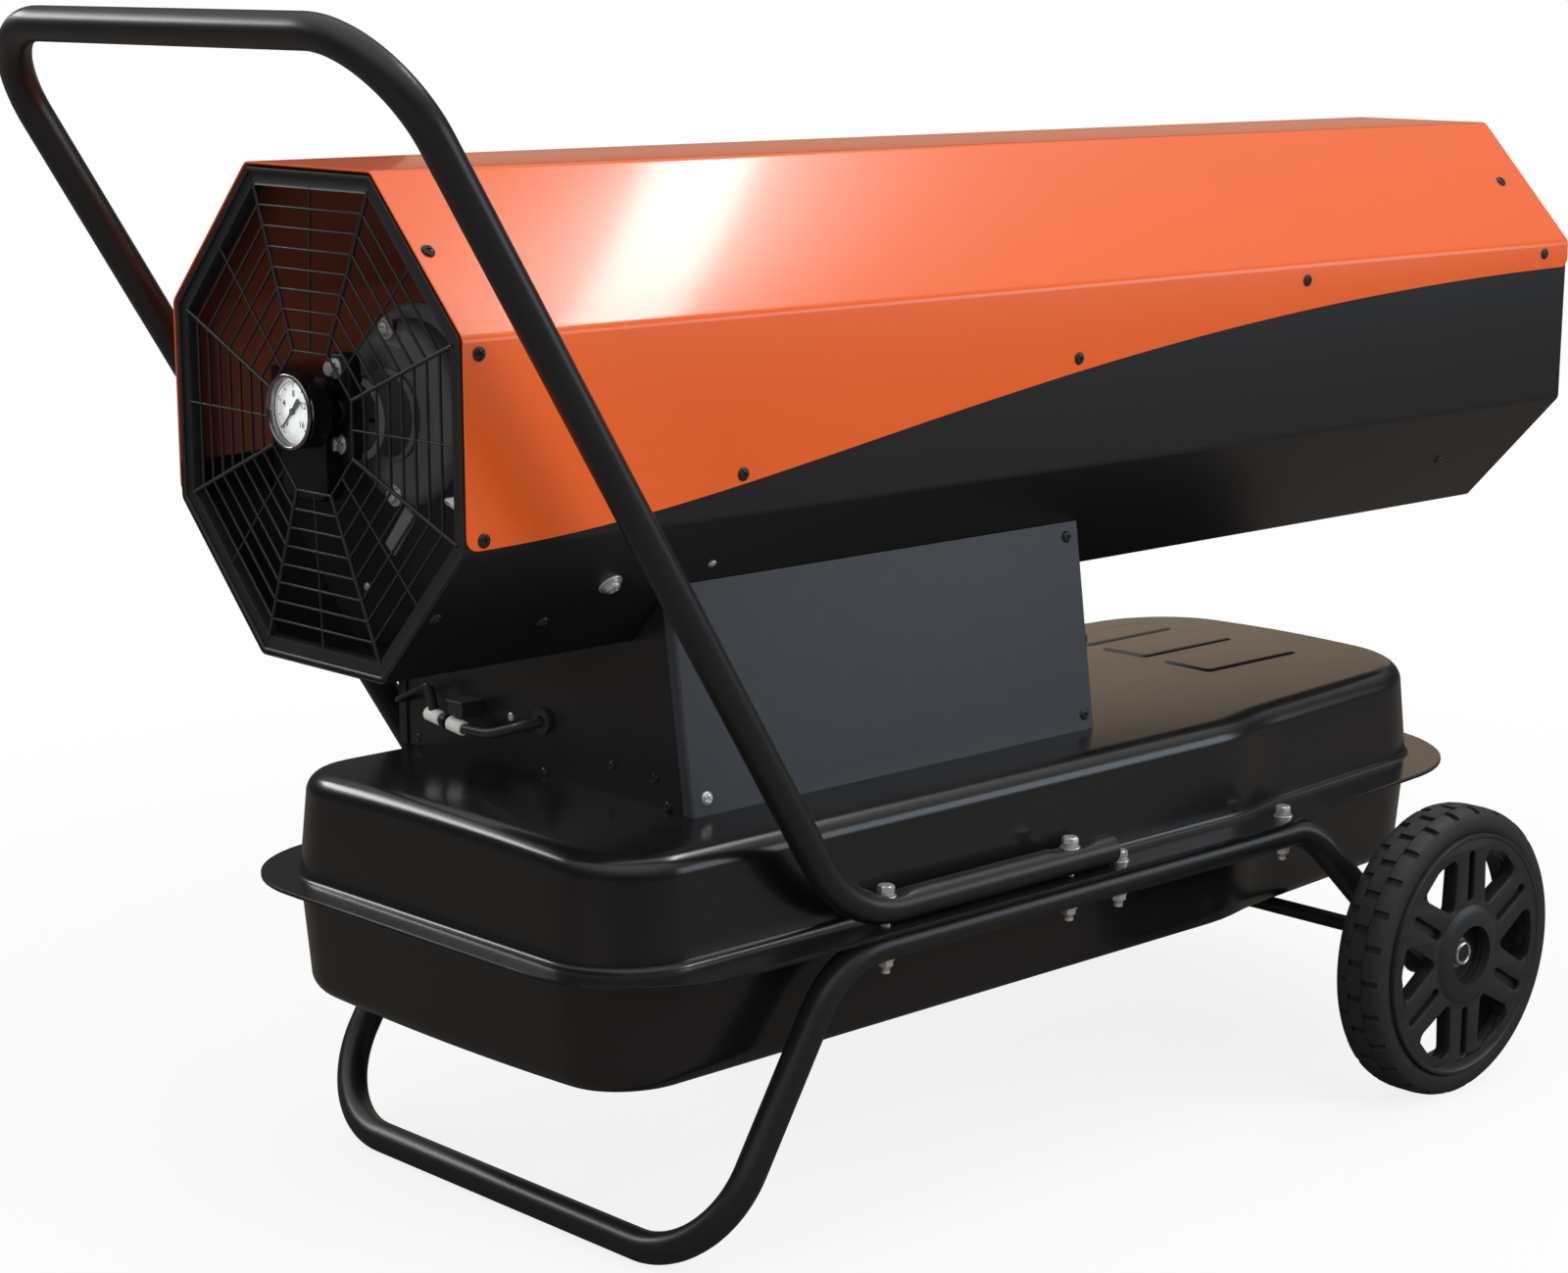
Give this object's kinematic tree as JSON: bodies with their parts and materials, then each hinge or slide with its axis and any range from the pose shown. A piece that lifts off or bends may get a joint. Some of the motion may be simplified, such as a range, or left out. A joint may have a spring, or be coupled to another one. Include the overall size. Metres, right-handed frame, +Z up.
{
  "type": "forced air heater",
  "caption": "Portable forced air heater: a long octagonal sheet-metal housing on a pressed fuel tank, carried by a wheeled tube frame with a tall push handle.",
  "frame": {"origin": "Centre of the bounding box on the floor plane.", "axes": "+X along the housing from the fan end to the hot-air outlet, +Z up, +Y to the side with the control panel; the pictured side faces -Y."},
  "size_m": [1.4214, 0.742, 0.9159],
  "materials": {
    "orange_paint": "gloss",
    "black_paint": "satin",
    "gloss_black": "gloss",
    "black_plastic": "matte",
    "hose_rubber": "matte",
    "tyre_rubber": "matte",
    "zinc": "bright zinc",
    "steel": "turned",
    "heat_steel": "heat dulled",
    "cast_alloy": "as cast",
    "white_plastic": "matte",
    "gauge_white": "satin",
    "clear_lens": "clear",
    "white_ceramic": "matte",
    "board_green": "satin"
  },
  "bodies": {
    "heater": {"axle": "steel", "box_cover": "black_paint", "box_frame": "black_paint", "burner_head": "heat_steel", "circuit_board": "board_green", "combustion_chamber": "heat_steel", "control_console": "black_paint", "display_window": "black_plastic", "drain_plug": "zinc", "fan_guard": "black_plastic", "filler_neck": "black_paint", "flame_disc": "heat_steel", "flame_tube": "heat_steel", "frame_bolt_far_1": "zinc", "frame_bolt_far_2": "zinc", "frame_bolt_near_1": "zinc", "frame_bolt_near_2": "zinc", "frame_tube": "black_paint", "fuel_hose": "hose_rubber", "fuel_line": "black_plastic", "gauge_lens": "clear_lens", "handle_bolt_far_1": "zinc", "handle_bolt_far_2": "zinc", "handle_bolt_near_1": "zinc", "handle_bolt_near_2": "zinc", "handle_tube": "black_paint", "hose_clamp_inner": "white_plastic", "hose_clamp_outer": "white_plastic", "hose_coupling": "black_plastic", "hose_grommet": "hose_rubber", "ignition_transformer": "black_plastic", "indicator_lamp": "white_plastic", "level_gauge": "black_plastic", "lock_nut_far": "zinc", "lock_nut_near": "zinc", "lower_shell": "black_paint", "mains_gland": "black_plastic", "motor_body": "black_paint", "motor_bracket": "black_paint", "outlet_ring": "black_paint", "pressure_gauge": "gauge_white", "pump_body": "cast_alloy", "pump_end_cover": "black_paint", "spark_electrode": "white_ceramic", "switch_bezel": "black_plastic", "tank_lower_pan": "gloss_black", "tank_upper_pan": "gloss_black", "upper_shell": "orange_paint"},
    "fan_rotor": {"fan": "cast_alloy", "motor_shaft": "steel", "pump_rotor": "steel"},
    "needle": {"gauge_needle": "black_paint"},
    "knob": {"thermostat_knob": "black_plastic"},
    "rocker": {"power_rocker": "black_plastic"},
    "cap": {"fuel_cap": "black_plastic"},
    "float": {"fuel_float": "white_plastic"},
    "wheel_near": {"tyre_near": "tyre_rubber", "wheel_near": "black_plastic"},
    "wheel_far": {"tyre_far": "tyre_rubber", "wheel_far": "black_plastic"}
  },
  "joints": [
    {"name": "fan_spin", "type": "hinge", "parent": "heater", "child": "fan_rotor", "pos_m": [-0.32925, 0, 0.629], "axis": [1, 0, 0], "continuous": true},
    {"name": "gauge_needle_swing", "type": "hinge", "parent": "heater", "child": "needle", "pos_m": [-0.59475, 0.017, 0.636], "axis": [1, 0, 0], "range_deg": [0, 270], "stiffness_Nm_per_rad": 0.001},
    {"name": "thermostat_turn", "type": "hinge", "parent": "heater", "child": "knob", "pos_m": [-0.25625, 0.1845, 0.4722], "axis": [0, 0.8551, 0.5185], "range_deg": [0, 270]},
    {"name": "power_switch_rock", "type": "hinge", "parent": "heater", "child": "rocker", "pos_m": [-0.16625, 0.18279, 0.47116], "axis": [-1, 0, 0], "range_deg": [0, 16]},
    {"name": "fuel_cap_turn", "type": "hinge", "parent": "heater", "child": "cap", "pos_m": [0.21075, 0.118, 0.336], "axis": [0, 0, 1], "range_deg": [0, 90]},
    {"name": "fuel_float_swing", "type": "hinge", "parent": "heater", "child": "float", "pos_m": [0.34075, 0.118, 0.299], "axis": [0, 1, 0], "range_deg": [0, 45]},
    {"name": "wheel_near_spin", "type": "hinge", "parent": "heater", "child": "wheel_near", "pos_m": [0.32675, -0.345, 0.1265], "axis": [0, 1, 0], "continuous": true},
    {"name": "wheel_far_spin", "type": "hinge", "parent": "heater", "child": "wheel_far", "pos_m": [0.32675, 0.345, 0.1265], "axis": [0, 1, 0], "continuous": true}
  ]
}
